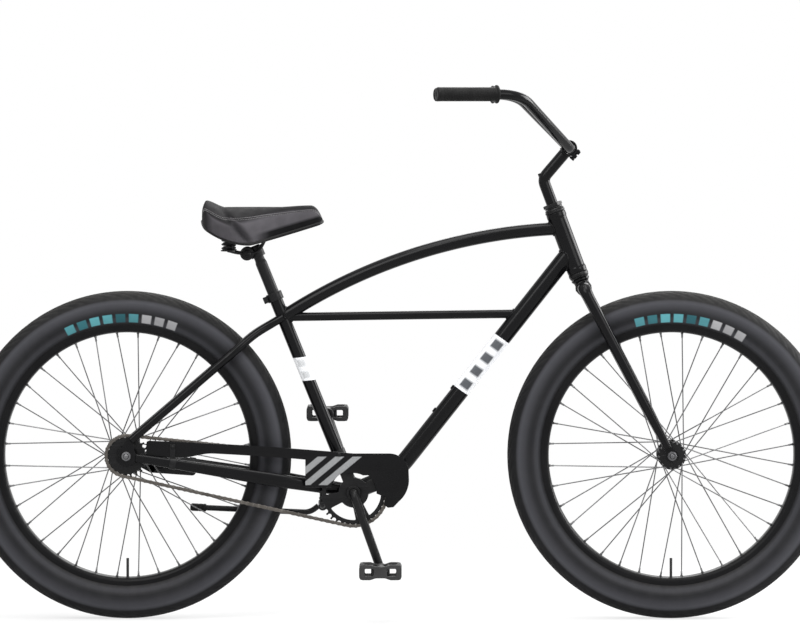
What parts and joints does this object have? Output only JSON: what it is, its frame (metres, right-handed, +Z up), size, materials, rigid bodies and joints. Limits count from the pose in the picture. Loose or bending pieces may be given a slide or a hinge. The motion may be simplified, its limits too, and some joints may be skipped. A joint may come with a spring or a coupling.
{
  "type": "fat tire bike",
  "caption": "Cruiser bicycle with fat tyres, an arched top tube, swept handlebar, sprung saddle, coaster brake and chain guard.",
  "frame": {"origin": "on the ground, midway between the two wheels, in the bicycle's middle plane", "axes": "+X forwards, +Y to the rider's left, +Z up"},
  "size_m": [1.904, 0.6888, 1.1648],
  "materials": {
    "frame_paint": "gloss black paint",
    "rim_paint": "satin black paint",
    "black_fittings": "black plated steel",
    "bright_fittings": "zinc plated steel and alloy",
    "tyre_rubber": "matt black rubber with a grey sidewall",
    "inner_tube_rubber": "matt black rubber",
    "grip_rubber": "matt black rubber",
    "pedal_plastic": "moulded black plastic",
    "saddle_vinyl": "dark grey padded vinyl",
    "saddle_pan": "moulded black plastic"
  },
  "bodies": {
    "frame": {"head_tube": "frame_paint", "top_tube": "frame_paint", "mid_tube": "frame_paint", "down_tube": "frame_paint", "seat_tube": "frame_paint", "bottom_bracket_shell": "frame_paint", "chainstay_left": "frame_paint", "chainstay_right": "frame_paint", "seatstay_left": "frame_paint", "seatstay_right": "frame_paint", "kickstand_bracket": "frame_paint", "seat_clamp": "black_fittings", "headset_cup_upper": "black_fittings", "headset_cup_lower": "black_fittings", "chain_guard": "frame_paint", "guard_bracket_front": "black_fittings", "guard_bracket_rear": "black_fittings", "chain": "black_fittings", "rear_axle": "bright_fittings", "rear_axle_nut_left": "bright_fittings", "rear_axle_nut_right": "bright_fittings", "coaster_brake_arm": "black_fittings", "bb_cup_left": "black_fittings", "bb_cup_right": "black_fittings"},
    "fork": {"fork_steerer": "frame_paint", "fork_blade_left": "frame_paint", "fork_blade_right": "frame_paint", "front_axle": "bright_fittings", "front_axle_nut_left": "bright_fittings", "front_axle_nut_right": "bright_fittings", "headset_locknut": "black_fittings"},
    "front_wheel": {"front_tyre": "tyre_rubber", "front_rim": "rim_paint", "front_inner_tube": "inner_tube_rubber", "front_hub": "black_fittings"},
    "stem": {"stem": "frame_paint", "stem_expander": "black_fittings"},
    "handlebar": {"handlebar": "frame_paint", "grip_left": "grip_rubber", "grip_right": "grip_rubber"},
    "rear_wheel": {"rear_tyre": "tyre_rubber", "rear_rim": "rim_paint", "rear_inner_tube": "inner_tube_rubber", "rear_hub": "black_fittings"},
    "sprocket": {"rear_sprocket": "black_fittings"},
    "crankset": {"crank": "black_fittings", "chainring": "black_fittings", "pedal_spindle_left": "bright_fittings", "pedal_spindle_right": "bright_fittings"},
    "pedal_left": {"pedal_left": "pedal_plastic"},
    "pedal_right": {"pedal_right": "pedal_plastic"},
    "kickstand": {"kickstand_leg": "black_fittings", "kickstand_foot": "grip_rubber"},
    "seatpost": {"seatpost": "black_fittings", "saddle_clamp": "black_fittings"},
    "saddle": {"saddle_cover": "saddle_vinyl", "saddle_base": "saddle_pan", "saddle_rails": "black_fittings", "saddle_spring_left": "black_fittings", "saddle_spring_right": "black_fittings"}
  },
  "joints": [
    {"name": "steering", "type": "hinge", "parent": "frame", "child": "fork", "pos_m": [0.54529, 0, 0.33979], "axis": [-0.3502, 0, 0.9367], "range_deg": [-90, 90]},
    {"name": "front_wheel_spin", "type": "hinge", "parent": "fork", "child": "front_wheel", "pos_m": [0.594, 0, 0.358], "axis": [0, 1, 0], "continuous": true},
    {"name": "stem_height", "type": "slide", "parent": "fork", "child": "stem", "axis": [-0.3502, 0, 0.9367], "range_m": [-0.03, 0.03]},
    {"name": "handlebar_tilt", "type": "hinge", "parent": "stem", "child": "handlebar", "pos_m": [0.37026, 0, 1.02772], "axis": [0, 1, 0], "range_deg": [-20, 20]},
    {"name": "rear_wheel_spin", "type": "hinge", "parent": "frame", "child": "rear_wheel", "pos_m": [-0.594, 0, 0.358], "axis": [0, 1, 0], "continuous": true},
    {"name": "crank_spin", "type": "hinge", "parent": "frame", "child": "crankset", "pos_m": [-0.09958, 0, 0.278], "axis": [0, 1, 0], "continuous": true, "deforming": ["chain"]},
    {"name": "sprocket_spin", "type": "hinge", "parent": "frame", "child": "sprocket", "pos_m": [-0.594, 0, 0.358], "axis": [0, 1, 0], "continuous": true},
    {"name": "pedal_left_spin", "type": "hinge", "parent": "crankset", "child": "pedal_left", "pos_m": [-0.15828, 0.078, 0.44286], "axis": [0, 1, 0], "continuous": true},
    {"name": "pedal_right_spin", "type": "hinge", "parent": "crankset", "child": "pedal_right", "pos_m": [-0.04088, -0.078, 0.11314], "axis": [0, 1, 0], "continuous": true},
    {"name": "kickstand_swing", "type": "hinge", "parent": "frame", "child": "kickstand", "pos_m": [-0.16798, 0.0535, 0.25], "axis": [0.0093, -0.8457, -0.5337], "range_deg": [0, 95.5]},
    {"name": "seatpost_height", "type": "slide", "parent": "frame", "child": "seatpost", "axis": [-0.3754, 0, 0.9269], "range_m": [-0.06, 0.06]},
    {"name": "saddle_tilt", "type": "hinge", "parent": "seatpost", "child": "saddle", "pos_m": [-0.33219, 0, 0.79767], "axis": [0, 1, 0], "range_deg": [-15, 15]}
  ],
  "couplings": [
    {"joint": "sprocket_spin", "follows": "crank_spin", "ratio": 1.6364}
  ]
}
